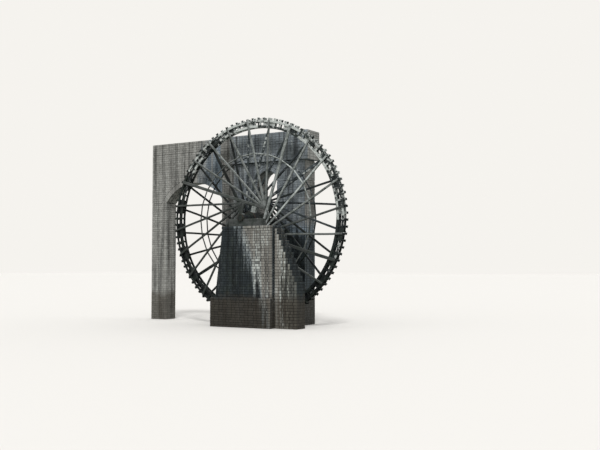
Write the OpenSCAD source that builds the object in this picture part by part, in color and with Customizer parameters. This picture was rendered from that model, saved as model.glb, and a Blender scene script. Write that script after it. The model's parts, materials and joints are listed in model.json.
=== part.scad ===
// Undershot timber water wheel between a stepped stone pier and the head tower of an aqueduct.
// X runs across the river face, Y along the axle from the pier to the tower, Z up from the river bed.
// The origin is on the river bed, under the axle, in the middle of the tower's thickness.

/* [Wheel] */
// Height of the axle's centre above the river bed
axle_z = 9100; // [9000:50:9600]
// Outer radius of the outer rim rings
rim_r = 8600; // [8500:50:8650]
// Radial depth of an outer ring
outer_ring_depth = 190; // [170:10:220]
// Radial depth of an inner ring
inner_ring_depth = 210; // [180:10:230]
// Radial distance from the outer edge of the outer ring to that of the inner ring
ring_pitch = 470; // [440:10:520]
// Thickness of every ring along the axle
ring_t = 75; // [60:5:85]
// Width of the rim over the outer faces of its rings
rim_w = 520; // [480:20:600]
// Number of spokes on each side
spoke_n = 24; // [16:4:24]
// Rim ties to each spoke bay
ties_per_bay = 4; // [4:2:4]

/* [Spokes] */
// Direction of the first clasp arm, seen from the pier
clasp_turn = 73.3; // [60:0.1:80]
// Distance of the clasp arms' centre lines from the axle's centre
clasp_off = 1200; // [1100:10:1300]
// Width of a clasp arm in the plane of the wheel
clasp_w = 260; // [240:10:300]
// Width of a spoke in the plane of the wheel
spoke_w = 170; // [150:10:200]
// Thickness of spokes and clasp arms along the axle
spoke_t = 140; // [120:5:160]
// Distance from the mid plane of the wheel to the spokes' centre at the hub
hub_half = 710; // [680:10:740]
// Depth to which a spoke is planed down where it lies on the rings
spoke_notch = 50; // [46:1:60]
// How far the spokes run past the outer edge of the rim
spoke_past = 20; // [0:5:40]
// Distance of the strut ring from the axle's centre
strut_r = 5650; // [5300:50:5900]
// Width of a strut in the plane of the wheel
strut_w = 120; // [90:10:150]
// Thickness of a strut along the axle
strut_t = 80; // [60:5:90]

/* [Rim ties and paddles] */
// Width of a radial rim tie
tie_w = 150; // [120:10:170]
// Thickness of a radial rim tie along the axle
tie_t = 50; // [40:5:60]
// How far the paddles reach beyond the rim
paddle_out = 210; // [190:10:240]
// Radial height of a paddle board
paddle_h = 180; // [140:5:185]
// Thickness of a paddle board
paddle_t = 45; // [35:5:60]

/* [Water boxes] */
// Thickness of the boards of a water box
box_board = 25; // [20:1:28]
// Half the width of a water box
box_half = 214; // [206:2:220]
// Distance from the rim's outer edge to the cover of a water box
box_top_in = 60; // [40:10:100]
// Radial height of a water box
box_h = 600; // [540:10:610]

/* [Axle] */
// Width of the eight-sided axle over its flats
axle_w = 1100; // [1000:10:1200]
// Half the length of the eight-sided part
axle_half = 1110; // [1080:10:1200]
// Radius of the round necks
neck_r = 260; // [220:5:280]
// Gap round a neck in its bearing
neck_gap = 0.5; // [0.3:0.1:0.8]
// How far each neck runs past its bearing
neck_past = 180; // [120:10:240]
// Width of an iron band
band_w = 100; // [60:10:140]
// Thickness of an iron band
band_t = 20; // [12:1:30]
// Width of a hub chock across the wheel
chock_w = 420; // [300:10:440]
// Depth of a hub chock along the axle
chock_deep = 300; // [200:10:320]

/* [Front pier] */
// Distance from the mid plane of the wheel to the back of the pier
pier_back = 1510; // [1470:10:1700]
// Thickness of the pier along the axle
pier_t = 1600; // [1400:20:1800]
// Left edge of the pier at its top
pier_left = 1400; // [1200:20:1800]
// How far the left face leans out down to the bed
pier_batter = 1000; // [600:20:1200]
// Right edge of the pier
pier_right = 3600; // [3300:20:3900]
// Distance from the axle's centre down to the top of pier and window sill
seat_drop = 750; // [700:10:800]
// Height of the cap course on the pier
cap_h = 220; // [160:10:260]
// How far the cap course stands out
cap_out = 40; // [20:5:60]
// Height of the footing ledge above the bed
foot_h = 2450; // [2200:50:2700]
// How far the footing ledge stands out in front
foot_out = 300; // [200:10:400]

/* [Stepped buttress] */
// Number of steps in the buttress
step_n = 9; // [7:1:11]
// Run of one step
step_run = 210; // [180:5:240]
// Rise of one step
step_rise = 480; // [440:10:500]
// Run of the lowest, wider step
last_run = 220; // [200:20:400]
// How far the buttress stands back from the pier's front
step_back = 260; // [200:10:320]
// Width of the dark joint between pier and buttress
joint_w = 150; // [120:5:220]

/* [Tower] */
// Distance from the mid plane of the wheel to the tower's front
tower_front = 1690; // [1650:10:1800]
// Thickness of the tower along the axle
tower_t = 1800; // [1600:20:2000]
// Left edge of the tower
tower_left = 4900; // [4600:50:5200]
// Right edge of the tower
tower_right = 3880; // [3700:20:4200]
// Half the width of the arched window
window_half = 1000; // [900:20:1100]
// Distance from the axle's centre up to the spring of the window arch
window_spring = 3400; // [3200:50:3500]
// Depth of the arch stones round the window
window_stone = 360; // [300:10:400]
// Height of the stone left over the window arch
head_over = 390; // [300:10:500]

/* [Channel] */
// Height of the solid block under the channel
block_h = 1500; // [1300:50:1600]
// How far the block stands out in front of the tower
block_out = 300; // [200:10:320]
// How far the block stands out on the right
block_side = 450; // [300:10:500]
// Height of the channel's walls
wall_h = 1050; // [900:50:1200]
// Thickness of the channel's walls
wall_t = 380; // [300:10:450]

/* [Aqueduct bay] */
// Span of the aqueduct arch
arch_span = 6600; // [6000:100:7000]
// Rise of the aqueduct arch
arch_rise = 1750; // [1600:50:2000]
// Distance from the axle's centre up to the spring of the aqueduct arch
arch_spring = 2000; // [1800:50:2200]
// Depth of the arch stones
arch_stone = 480; // [400:10:560]
// Width of the end pier of the aqueduct
end_pier_w = 1800; // [1500:50:2200]
// How far the aqueduct wall stands back from the tower's front
aqueduct_back = 150; // [100:10:250]
// Thickness of the aqueduct wall
aqueduct_t = 1500; // [1400:20:1600]

/* [Bearings] */
// Distance from the axle's centre down to the top of a sill timber
sill_drop = 360; // [340:10:380]
// Distance from the axle's centre down to the top of a bearing block
block_drop = 100; // [60:10:140]
// Length of the bearing timbers to the right of the axle
bearing_right = 2000; // [1700:50:2200]
// Length of the bearing timbers to the left of the axle
bearing_left = 1300; // [1000:50:1350]
// Half the length of the bearing timbers in the window
bearing_window = 980; // [880:10:980]
// Depth of a bearing along the axle
bearing_deep = 700; // [600:20:760]
// Distance from the back of the pier to its bearing
bearing_in = 80; // [40:10:160]

/* [Hidden] */
$fn = 96;
// Gap left between flat faces that seat on each other
seat = 0.2;
// Gap left between curved faces that seat on each other
round_seat = 0.3;
// Facets of the rings and of the wide arch
ring_fn = 256;
// Size of the blocks that cut half of space away
far = 30000;
bay = 360 / spoke_n;
tie_angle = bay / ties_per_bay;
fan_n = spoke_n / 4;
ring_face = rim_w / 2;
tie_face = ring_face - ring_t - seat;
inner_ring_r = rim_r - ring_pitch;
spoke_end_r = rim_r + spoke_past;
rim_half = ring_face + spoke_t / 2 - spoke_notch;
clasp_angle = 90 - asin(clasp_off / spoke_end_r);
fan_apex = [clasp_off, clasp_w / 2 - clasp_off];
seat_z = axle_z - seat_drop;
pier_top = seat_z - cap_h;
// Y of the wheel's mid plane, and of the front and back faces of the masonry
wheel_y = -tower_front - tower_t / 2;
pier_y1 = wheel_y - pier_back;
pier_y0 = pier_y1 - pier_t;
tower_y0 = -tower_t / 2;
tower_y1 = tower_t / 2;
block_y0 = tower_y0 - block_out;
aqueduct_y0 = tower_y0 + aqueduct_back;
aqueduct_y1 = aqueduct_y0 + aqueduct_t;
block_right = tower_right + block_side;
window_z = axle_z + window_spring;
window_top = window_z + window_half + window_stone;
tower_top = window_top + head_over;
channel_floor = tower_top + block_h;
channel_top = channel_floor + wall_h;
arch_z = axle_z + arch_spring;
arch_r = (arch_span * arch_span / 4 + arch_rise * arch_rise) / (2 * arch_rise);
arch_centre = [-tower_left - arch_span / 2, arch_z + arch_rise - arch_r];
arch_half_angle = asin(arch_span / 2 / arch_r);
end_left = -tower_left - arch_span - end_pier_w;
front_bearing_y = pier_y1 - bearing_in - bearing_deep / 2;
neck_y0 = front_bearing_y - bearing_deep / 2 - neck_past;
neck_y1 = bearing_deep / 2 + neck_past;
box_r1 = rim_r - box_top_in;
box_r0 = box_r1 - box_h;
// Y of the open back and of the closed front of a box, which fills the way between front and back ties
box_y1 = tie_face - tie_t - seat;
box_y0 = box_board + seat - box_y1;

STONE = "#8d867a";
WET_STONE = "#4c5250";
TIMBER = "#4b4a49";
PALE_TIMBER = "#8c8a84";
IRON = "#3a3531";

// Extrudes a flat shape, drawn as seen from the pier, from y0 to y1
module across(y0, y1) {
    translate([0, y1, 0]) rotate([90, 0, 0]) linear_extrude(y1 - y0) children();
}

// Extrudes a plan from z0 up to z1
module upright(z0, z1) {
    translate([0, 0, z0]) linear_extrude(z1 - z0) children();
}

// A block between two corners
module block(low, high) {
    translate(low) cube(high - low);
}

// Turns what it holds about the axle's line, anticlockwise as seen from the pier
module turned(angle) {
    rotate([0, -angle, 0]) children();
}

// Moves what is drawn about the origin to the wheel's centre
module at_axle() {
    translate([0, wheel_y, axle_z]) children();
}

// The far side of the wheel repeats the near side, turned about the vertical and on to the axle's flats
module far_side() {
    at_axle() turned(2 * clasp_turn - 135) rotate([0, 0, 180]) translate([0, -wheel_y, -axle_z]) children();
}

// Directions and lengths of the members of one fan, from 0, its clasp arm, to the next clasp arm
function ray(angle) = [cos(angle), sin(angle)];
function member_start(i) = i < fan_n ? fan_apex : [clasp_w / 2 - clasp_off, -clasp_off];
function member_end(i) = spoke_end_r * ray(clasp_angle - i * bay);
function member_run(i) = member_end(i) - member_start(i);
function member_turn(i) = atan2(member_run(i)[1], member_run(i)[0]);
function member_w(i) = i == 0 || i == fan_n ? clasp_w : spoke_w;
function split_turn(i) = (member_turn(i) + member_turn(i + 1)) / 2;
// Distance along a member to where it is r away from the axle's centre
function reach(i, r) =
    let (p = member_start(i), u = ray(member_turn(i)), b = p * u)
    sqrt(b * b - p * p + r * r) - b;
function member_y(i, s) = -hub_half + (hub_half - rim_half) * s / norm(member_run(i));

// One spoke or clasp arm, leaning in from the hub to the rim
module member(i) {
    p = member_start(i);
    run = norm(member_run(i));
    w = member_w(i);
    translate([p[0], -hub_half, p[1]])
        turned(member_turn(i))
        rotate([0, 0, atan((hub_half - rim_half) / run)])
        translate([0, -spoke_t / 2, -w / 2])
        cube([run, spoke_t, w]);
}

// Everything on the outer side of the rings' faces
module outside_rings() {
    block([-far, -far, -far], [far, -ring_face - seat, far]);
}

// The slice of one spoke between its neighbours, beyond both clasp arms
module spoke_slice(i) {
    low = i == fan_n - 1 ? 0 : split_turn(i);
    high = split_turn(i - 1);
    half = (high - low) / 2;
    tip = fan_apex + seat / 2 / sin(half) * ray((high + low) / 2);
    across(-far, far) polygon([tip, tip + far * ray(low), tip + far * ray(high)]);
}

module clasp_set() {
    foot = clasp_w / 2 - clasp_off + seat;
    at_axle() for (k = [0 : 3]) turned(clasp_turn + 90 * k) intersection() {
        member(0);
        block([-far, -far, foot], [far, far, far]);
        outside_rings();
    }
}

module spoke_set() {
    corner = [clasp_off + clasp_w / 2 + seat, -far, clasp_w / 2 - clasp_off + seat];
    at_axle() for (k = [0 : 3]) turned(clasp_turn + 90 * k) for (i = [1 : fan_n - 1]) intersection() {
        member(i);
        spoke_slice(i);
        block(corner, [far, far, far]);
        outside_rings();
    }
}

// The half of space on one side of a member's edge: side -1 is clockwise of it
module beside(i, side) {
    p = member_start(i);
    edge = member_w(i) / 2 + seat;
    translate([p[0], 0, p[1]]) turned(member_turn(i))
        translate([-far, -far, side < 0 ? -edge - 2 * far : edge])
        cube(2 * far);
}

module strut(i) {
    s0 = reach(i, strut_r);
    s1 = reach(i + 1, strut_r);
    p0 = member_start(i) + s0 * ray(member_turn(i));
    p1 = member_start(i + 1) + s1 * ray(member_turn(i + 1));
    run = p1 - p0;
    y = (member_y(i, s0) + member_y(i + 1, s1)) / 2;
    intersection() {
        translate([p0[0], y - strut_t / 2, p0[1]]) turned(atan2(run[1], run[0]))
            translate([-clasp_w, 0, -strut_w / 2]) cube([norm(run) + 2 * clasp_w, strut_t, strut_w]);
        beside(i, -1);
        beside(i + 1, 1);
    }
}

module strut_set() {
    at_axle() for (k = [0 : 3]) turned(clasp_turn + 90 * k) for (i = [0 : fan_n - 1]) strut(i);
}

// A ring of felloes on the near side, butted halfway between the spokes
module ring(r, depth) {
    gap_angle = seat / r * 180 / PI;
    at_axle() for (k = [0 : spoke_n - 1]) turned(clasp_turn + clasp_angle + (k + 0.5) * bay)
        rotate([90, 0, 0]) rotate_extrude(angle = bay - gap_angle, $fn = ring_fn)
        translate([r - depth, ring_face - ring_t]) square([depth, ring_t]);
}

// Stands what it holds at each tie on the near side; x is then the distance from the axle's line
module each_tie() {
    at_axle() for (k = [0 : spoke_n * ties_per_bay - 1])
        turned(clasp_turn + clasp_angle + k * tie_angle) children();
}

module tie_set() {
    each_tie() block([inner_ring_r - inner_ring_depth, -tie_face, -tie_w / 2],
        [rim_r + paddle_out, tie_t - tie_face, tie_w / 2]);
}

// Stands what it holds at each water box, one on either side of every spoke
module each_box() {
    at_axle() for (k = [0 : spoke_n - 1]) for (s = [-0.5, 0.5])
        turned(clasp_turn + clasp_angle + k * bay + s * tie_angle) children();
}

module box_plate(r0, r1) {
    inner = box_half - box_board - seat;
    each_box() block([r0, box_y0, -inner], [r1, box_y1, inner]);
}

// Flat timber under a bearing block
module sill(y, left, right) {
    block([-left, y - bearing_deep / 2, seat_z + seat], [right, y + bearing_deep / 2, axle_z - sill_drop]);
}

// Bearing block with a half-round seat for a neck of the axle
module bearing(y, left, right) {
    difference() {
        block([-left, y - bearing_deep / 2, axle_z - sill_drop + seat],
            [right, y + bearing_deep / 2, axle_z - block_drop]);
        round_bar(neck_r + neck_gap, y - bearing_deep, y + bearing_deep);
    }
}

module front_pier() {
    foot_left = -pier_left - pier_batter;
    color(WET_STONE) across(pier_y0, pier_y1)
        polygon([[foot_left, 0], [pier_right, 0], [pier_right, pier_top], [-pier_left, pier_top]]);
}

module front_pier_cap() {
    color(STONE) block([-pier_left - cap_out, pier_y0 - cap_out, pier_top + seat],
        [pier_right + cap_out, pier_y1 + cap_out, seat_z]);
}

module front_pier_foot() {
    color(WET_STONE) block([-pier_left - pier_batter, pier_y0 - foot_out, 0],
        [pier_right, pier_y0 - seat, foot_h]);
}

// Rubble buttress that steps down to the right of the pier
module stepped_buttress() {
    left = pier_right + cap_out + seat;
    top = pier_top - cap_out;
    steps = [for (k = [0 : step_n - 1]) for (e = [0, 1])
        [left + (k + 1) * step_run, top - (k + e) * step_rise]];
    low = top - step_n * step_rise;
    right = left + step_n * step_run + last_run;
    color(STONE) union() {
        across(pier_y0 + step_back, pier_y1)
            polygon(concat([[left, 0], [left, top]], steps, [[right, low], [right, 0]]));
        block([pier_right + seat, pier_y0 + step_back + joint_w, 0], [left, pier_y1, top]);
    }
}

module front_bearing_sill() {
    color(PALE_TIMBER) sill(front_bearing_y, bearing_left, bearing_right);
}

module front_bearing_block() {
    color(PALE_TIMBER) bearing(front_bearing_y, bearing_left, bearing_right);
}

module back_bearing_sill() {
    color(PALE_TIMBER) sill(0, bearing_window, bearing_window);
}

module back_bearing_block() {
    color(PALE_TIMBER) bearing(0, bearing_window, bearing_window);
}

module tower_base() {
    color(WET_STONE) block([-tower_left, tower_y0, 0], [tower_right, tower_y1, seat_z]);
}

module tower_left_jamb() {
    color(WET_STONE) block([-tower_left, tower_y0, seat_z + seat], [-window_half, tower_y1, window_z]);
}

module tower_right_jamb() {
    color(STONE) block([window_half, tower_y0, seat_z + seat], [tower_right, tower_y1, window_z]);
}

module window_arch() {
    color(STONE) translate([0, tower_y1, window_z + seat]) rotate([90, 0, 0]) difference() {
        cylinder(r = window_half + window_stone, h = tower_t);
        translate([0, 0, -far]) cylinder(r = window_half, h = 2 * far);
        translate([-far, -2 * far, -far]) cube(2 * far);
    }
}

module tower_head() {
    color(WET_STONE) difference() {
        block([-tower_left, tower_y0, window_z + seat], [tower_right, tower_y1, tower_top]);
        translate([0, 0, window_z]) rotate([90, 0, 0])
            cylinder(r = window_half + window_stone + round_seat, h = far, center = true);
    }
}

module channel_block() {
    color(WET_STONE) block([-tower_left, block_y0, tower_top + seat], [block_right, tower_y1, channel_floor]);
}

// Channel wall with faces at y0 and y1, turned in on the left to narrow the channel to that of the aqueduct
module channel_wall(y0, y1, end_y0, end_y1) {
    bottom = channel_floor + seat;
    color(WET_STONE) upright(bottom, channel_top) union() {
        translate([-tower_left, y0]) square([tower_left + block_right - wall_t - seat, y1 - y0]);
        translate([-tower_left, end_y0]) square([wall_t, end_y1 - end_y0]);
    }
}

module channel_front_wall() {
    channel_wall(block_y0, block_y0 + wall_t, block_y0, aqueduct_y0 + wall_t);
}

module channel_back_wall() {
    channel_wall(tower_y1 - wall_t, tower_y1, aqueduct_y1 - wall_t, tower_y1);
}

module channel_end_wall() {
    color(WET_STONE) block([block_right - wall_t, block_y0, channel_floor + seat],
        [block_right, tower_y1, channel_top]);
}

module aqueduct_end_pier() {
    color(STONE) block([end_left, aqueduct_y0, 0], [end_left + end_pier_w, aqueduct_y1, arch_z]);
}

// Sector of the arch between its springs, from radius r0 to r1
module arch_sector(r0, r1) {
    translate([arch_centre[0], aqueduct_y1, arch_centre[1]]) rotate([90, 0, 0])
        rotate([0, 0, 90 - arch_half_angle]) rotate_extrude(angle = 2 * arch_half_angle, $fn = ring_fn)
        translate([r0, 0]) square([r1 - r0, aqueduct_t]);
}

module aqueduct_arch() {
    color(STONE) intersection() {
        arch_sector(arch_r, arch_r + arch_stone);
        block([-far, -far, arch_z + seat], [-tower_left - seat, far, 2 * far]);
    }
}

module aqueduct_wall() {
    color(STONE) difference() {
        block([end_left, aqueduct_y0, arch_z + seat], [-tower_left - seat, aqueduct_y1, channel_floor]);
        translate([arch_centre[0], 0, arch_centre[1]]) rotate([90, 0, 0])
            cylinder(r = arch_r + arch_stone + round_seat, h = far, center = true);
    }
}

module aqueduct_channel_walls() {
    color(STONE) for (y = [aqueduct_y0, aqueduct_y1 - wall_t])
        block([end_left, y, channel_floor + seat], [-tower_left - seat, y + wall_t, channel_top]);
}

// Eight-sided bar along the axle, w over its flats
module octagon(w, y0, y1) {
    translate([0, y1, axle_z]) turned(clasp_turn) rotate([90, 0, 0]) rotate([0, 0, 22.5])
        cylinder(r = w / 2 / cos(22.5), h = y1 - y0, $fn = 8);
}

// Round bar along the axle
module round_bar(r, y0, y1) {
    translate([0, y1, axle_z]) rotate([90, 0, 0]) cylinder(r = r, h = y1 - y0);
}

module axle() {
    color(TIMBER) octagon(axle_w, wheel_y - axle_half, wheel_y + axle_half);
}

module axle_necks() {
    color(TIMBER) {
        round_bar(neck_r, neck_y0, wheel_y - axle_half - seat);
        round_bar(neck_r, wheel_y + axle_half + seat, neck_y1);
    }
}

module axle_bands() {
    color(IRON) {
        for (y = [wheel_y - axle_half, wheel_y + axle_half - band_w]) difference() {
            octagon(axle_w + 2 * band_t, y, y + band_w);
            octagon(axle_w + 2 * seat, y - band_w, y + 2 * band_w);
        }
        for (y = [neck_y0, neck_y1 - band_w]) difference() {
            round_bar(neck_r + band_t, y, y + band_w);
            round_bar(neck_r + round_seat, y - band_w, y + 2 * band_w);
        }
    }
}

module chock_set() {
    at_axle() for (k = [0 : 3]) turned(clasp_turn + 90 * k)
        block([axle_w / 2 + seat, -hub_half - chock_deep / 2, -chock_w / 2],
            [clasp_off - clasp_w / 2 - seat, -hub_half + chock_deep / 2, chock_w / 2]);
}

// Blocks that fill the way between the axle's flats and the clasp arms
module hub_chocks() {
    color(PALE_TIMBER) {
        chock_set();
        far_side() chock_set();
    }
}

module clasp_arms_front() {
    color(PALE_TIMBER) clasp_set();
}

module clasp_arms_back() {
    color(TIMBER) far_side() clasp_set();
}

module spokes_front() {
    color(PALE_TIMBER) spoke_set();
}

module spokes_back() {
    color(TIMBER) far_side() spoke_set();
}

module struts_front() {
    color(PALE_TIMBER) strut_set();
}

module struts_back() {
    color(TIMBER) far_side() strut_set();
}

module outer_ring_front() {
    color(TIMBER) ring(rim_r, outer_ring_depth);
}

module outer_ring_back() {
    color(TIMBER) far_side() ring(rim_r, outer_ring_depth);
}

module inner_ring_front() {
    color(TIMBER) ring(inner_ring_r, inner_ring_depth);
}

module inner_ring_back() {
    color(TIMBER) far_side() ring(inner_ring_r, inner_ring_depth);
}

module rim_ties_front() {
    color(TIMBER) tie_set();
}

module rim_ties_back() {
    color(TIMBER) translate([0, 2 * wheel_y, 0]) mirror([0, 1, 0]) tie_set();
}

module paddles() {
    r1 = rim_r + paddle_out;
    color(TIMBER) each_tie() block([r1 - paddle_h, -ring_face, tie_w / 2 + seat],
        [r1, ring_face, tie_w / 2 + seat + paddle_t]);
}

module box_sides() {
    color(TIMBER) each_box() for (z = [-box_half, box_half - box_board])
        block([box_r0, box_y0, z], [box_r1, box_y1, z + box_board]);
}

module box_soles() {
    color(TIMBER) box_plate(box_r0, box_r0 + box_board);
}

module box_covers() {
    color(TIMBER) box_plate(box_r1 - box_board, box_r1);
}

module box_fronts() {
    color(TIMBER) each_box() block([box_r0, box_y0 - seat - box_board, -box_half],
        [box_r1, box_y0 - seat, box_half]);
}

front_pier();
front_pier_cap();
front_pier_foot();
stepped_buttress();
front_bearing_sill();
front_bearing_block();
tower_base();
tower_left_jamb();
tower_right_jamb();
window_arch();
tower_head();
channel_block();
channel_front_wall();
channel_back_wall();
channel_end_wall();
back_bearing_sill();
back_bearing_block();
aqueduct_end_pier();
aqueduct_arch();
aqueduct_wall();
aqueduct_channel_walls();
axle();
axle_necks();
axle_bands();
hub_chocks();
clasp_arms_front();
clasp_arms_back();
spokes_front();
spokes_back();
struts_front();
struts_back();
outer_ring_front();
outer_ring_back();
inner_ring_front();
inner_ring_back();
rim_ties_front();
rim_ties_back();
paddles();
box_sides();
box_soles();
box_covers();
box_fronts();
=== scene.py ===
import json
import math
import random

import bmesh
import bpy
import numpy
from bpy.props import FloatProperty, FloatVectorProperty, IntProperty, PointerProperty
from mathutils import Euler, Matrix, Vector, noise


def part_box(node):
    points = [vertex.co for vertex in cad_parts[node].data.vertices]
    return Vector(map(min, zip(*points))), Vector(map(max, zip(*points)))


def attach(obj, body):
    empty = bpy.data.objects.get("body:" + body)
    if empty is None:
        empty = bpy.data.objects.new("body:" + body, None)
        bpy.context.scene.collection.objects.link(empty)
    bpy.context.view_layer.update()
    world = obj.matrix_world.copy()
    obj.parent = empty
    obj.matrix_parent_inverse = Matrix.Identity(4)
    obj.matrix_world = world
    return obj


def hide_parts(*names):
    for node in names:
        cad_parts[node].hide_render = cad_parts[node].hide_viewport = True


bl_info = {
    "name": "Timber water wheel",
    "version": (1, 0, 0),
    "blender": (4, 5, 0),
    "location": "View3D > Sidebar > Water wheel",
    "description": "Stones, timbers and fastenings of a water wheel with its pier, tower and aqueduct bay",
    "category": "Object",
}

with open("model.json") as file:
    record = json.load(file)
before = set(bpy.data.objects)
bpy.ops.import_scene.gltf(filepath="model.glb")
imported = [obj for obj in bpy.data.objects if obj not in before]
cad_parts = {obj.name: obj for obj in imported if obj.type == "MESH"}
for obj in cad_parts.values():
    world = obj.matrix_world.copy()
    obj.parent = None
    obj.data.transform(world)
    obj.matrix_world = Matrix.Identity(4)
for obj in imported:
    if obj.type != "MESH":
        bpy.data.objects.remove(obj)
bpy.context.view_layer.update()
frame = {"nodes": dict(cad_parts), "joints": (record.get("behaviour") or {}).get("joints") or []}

# The noise that bends timbers and roughens stones has a seed, because without one it differs at every run
noise.seed_set(1)

# The wheel's centre, its outer radius and the front face of its rings, read from the frame
AXLE = Vector(frame["joints"][0]["pos_m"])
RING_LOW, RING_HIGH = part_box("outer_ring_front")
RIM_R = (RING_HIGH.x - RING_LOW.x) / 2
RIM_FACE = AXLE.y - RING_LOW.y

# How far a stone's faces lie behind the planes of its wall at most
SET_BACK = 0.008
# The thinnest stone that is laid on the back of an arch
SLIVER = 0.05
# Usual length of the wedge stones of the window and of the aqueduct
WINDOW_WEDGE = 0.26
AQUEDUCT_WEDGE = 0.34
# The direction in which the timbers have drained longest, in x and z: up, and a little past the top
DRAINED = (0.45, 0.89)
# Each spoke has two bolts at a ring, this far to either side of the crossing
BOLT_OFF = 0.05
# The camera that sees the two rims as the photograph shows them, and the direction of the light
CAMERA_SPOT = (38.04, -60.34, 4.88)
CAMERA_WAY = Vector((-0.5029, 0.8626, 0.0537))
LIGHT_WAY = Vector((-0.36, 0.6, -0.71))
# Strength at which the backdrop looks as pale as the lit floor
BACKDROP = 1.42


def linear(colour):
    """Linear RGBA of an sRGB hex colour."""
    parts = [int(colour[i:i + 2], 16) / 255 for i in (1, 3, 5)]
    return [p / 12.92 if p <= 0.04045 else ((p + 0.055) / 1.055) ** 2.4 for p in parts] + [1.0]


# Sizes and colours that a user would change

class StoneSizes(bpy.types.PropertyGroup):
    course: FloatProperty(name="Course height", description="Height of one course of squared stones",
                          default=0.21, min=0.15, max=0.4, unit="LENGTH")
    length: FloatProperty(name="Stone length", description="Usual length of a squared stone",
                          default=0.42, min=0.25, max=0.8, unit="LENGTH")
    bed: FloatProperty(name="Bed depth", description="How far a face stone reaches into the wall",
                       default=0.34, min=0.2, max=0.5, unit="LENGTH")
    joint: FloatProperty(name="Joint", description="Width of the joints between stones",
                         default=0.02, min=0.004, max=0.03, unit="LENGTH")
    recess: FloatProperty(name="Mortar recess",
                          description="How far the mortar lies behind the stone faces",
                          default=0.03, min=0.01, max=0.06, unit="LENGTH")
    arris: FloatProperty(name="Worn arris", description="Width of the worn edge round each stone",
                         default=0.016, min=0.004, max=0.03, unit="LENGTH")


class TimberSizes(bpy.types.PropertyGroup):
    wear: FloatProperty(name="Worn edge", description="Width of the worn edge on a hewn timber",
                        default=0.012, min=0.002, max=0.03, unit="LENGTH")
    spoke_wear: FloatProperty(name="Worn spoke edge",
                              description="Width of the worn edge on a spoke or strut",
                              default=0.028, min=0.002, max=0.04, unit="LENGTH")
    board_wear: FloatProperty(name="Worn board edge", description="Width of the worn edge on a sawn board",
                              default=0.004, min=0.001, max=0.01, unit="LENGTH")
    ragged: FloatProperty(name="Ragged ends",
                          description="How far the ends of the paddles are worn back at most",
                          default=0.05, min=0.0, max=0.1, unit="LENGTH")
    bend: FloatProperty(name="Bend", description="How far a timber strays from its straight line",
                        default=0.028, min=0.0, max=0.05, unit="LENGTH")
    peg: FloatProperty(name="Peg radius", description="Radius of a peg or bolt head",
                       default=0.024, min=0.01, max=0.04, unit="LENGTH")


class Finishes(bpy.types.PropertyGroup):
    dry_stone: FloatVectorProperty(name="Dry stone", description="Weathered limestone where no water runs",
                                   subtype="COLOR", size=4, min=0, max=1, default=linear("#7f7c76"))
    damp_stone: FloatVectorProperty(name="Damp stone", description="Limestone that spray keeps damp",
                                    subtype="COLOR", size=4, min=0, max=1, default=linear("#757c7f"))
    damp_rubble: FloatVectorProperty(name="Damp rubble",
                                     description="Browner stone of the buttress, kept damp by spray",
                                     subtype="COLOR", size=4, min=0, max=1, default=linear("#77766e"))
    high_stone: FloatVectorProperty(name="High stone",
                                    description="Paler limestone of tower and aqueduct, dry",
                                    subtype="COLOR", size=4, min=0, max=1, default=linear("#8b8a86"))
    high_damp: FloatVectorProperty(name="High damp stone",
                                   description="Limestone of tower and aqueduct, kept damp",
                                   subtype="COLOR", size=4, min=0, max=1, default=linear("#7d8a95"))
    wet_stone: FloatVectorProperty(name="Wet stone", description="Limestone blackened by water and algae",
                                   subtype="COLOR", size=4, min=0, max=1, default=linear("#2a3033"))
    silt: FloatVectorProperty(name="Silt", description="Brown silt on stone that stands under water",
                              subtype="COLOR", size=4, min=0, max=1, default=linear("#3f3931"))
    lime: FloatVectorProperty(name="Lime", description="Lime that hard water leaves on stone and timber",
                              subtype="COLOR", size=4, min=0, max=1, default=linear("#bcc0bc"))
    pale_timber: FloatVectorProperty(name="Dry timber", description="Oak bleached grey by sun and spray",
                                     subtype="COLOR", size=4, min=0, max=1, default=linear("#7e8280"))
    # Also the base colour of the timbers behind the wheel, where its darkness is painted shade
    wet_timber: FloatVectorProperty(name="Wet timber", description="Oak blackened by water",
                                    subtype="COLOR", size=4, min=0, max=1, default=linear("#2b3034"))


class StageSettings(bpy.types.PropertyGroup):
    floor: FloatVectorProperty(name="Floor", description="Colour of the plain floor and background",
                               subtype="COLOR", size=4, min=0, max=1, default=linear("#d2d0cc"))
    bounce: FloatVectorProperty(name="Bounce", description="Colour that the floor throws back on the wheel",
                                subtype="COLOR", size=4, min=0, max=1, default=linear("#8c9088"))
    sun: FloatProperty(name="Key light", description="Strength of the large soft key light",
                       default=2.2, min=0.0, max=6.0)
    sky: FloatProperty(name="Fill light", description="Strength of the even light from all round",
                       default=0.95, min=0.0, max=2.0)
    lens: IntProperty(name="Lens", description="Focal length of the camera", default=48, min=20, max=100,
                      subtype="DISTANCE_CAMERA")


# Materials

# Settings of a Mix node that lays one colour over another, and of one that multiplies them
BLEND = {"data_type": "RGBA"}
TINT = {"data_type": "RGBA", "blend_type": "MULTIPLY"}


def add(tree, kind, inputs=None, ramp=None, **settings):
    """Adds one shader node with its settings, its input values or links, and the stops of its ramp."""
    made = tree.nodes.new("ShaderNode" + kind)
    for key, value in settings.items():
        setattr(made, key, value)
    for key, value in (inputs or {}).items():
        if isinstance(value, bpy.types.NodeSocket):
            tree.links.new(value, made.inputs[key])
        else:
            made.inputs[key].default_value = value
    if ramp:
        while len(made.color_ramp.elements) < len(ramp):
            made.color_ramp.elements.new(1.0)
        for stop, (place, colour) in zip(made.color_ramp.elements, ramp):
            stop.position = place
            stop.color = colour
    return made


def shade(colour, factor):
    """The same colour, lighter or darker."""
    return [min(1.0, channel * factor) for channel in colour[:3]] + [1.0]


def grey(value):
    """A grey of that value, as a ramp's stop takes it."""
    return (value, value, value, 1.0)


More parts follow.
